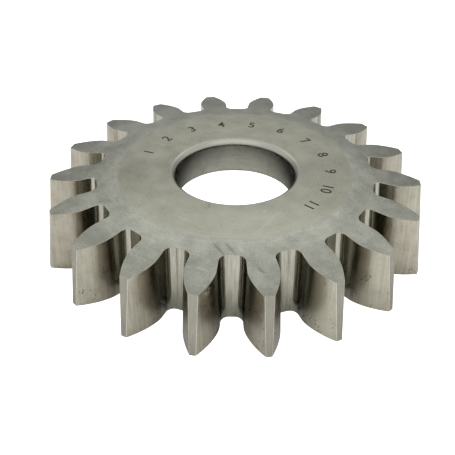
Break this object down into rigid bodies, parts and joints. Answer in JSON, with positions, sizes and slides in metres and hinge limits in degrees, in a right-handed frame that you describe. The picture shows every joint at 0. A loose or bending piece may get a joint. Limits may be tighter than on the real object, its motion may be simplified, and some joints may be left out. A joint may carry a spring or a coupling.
{
  "type": "disc gear shaper cutter",
  "caption": "Disc gear shaper cutter with relieved involute teeth, a conical cutting face, a bevelled back and a plain chamfered bore.",
  "frame": {"origin": "on the bore's axis, in the plane of the cutting tips that the cutter stands on", "axes": "+Z along the bore's axis towards the support face; +X through the middle of a tooth"},
  "size_m": [0.1448, 0.143, 0.028],
  "materials": {
    "ground_steel": "fine-ground high-speed steel, satin"
  },
  "bodies": {
    "root": {"shaper_cutter": "ground_steel"}
  },
  "joints": []
}
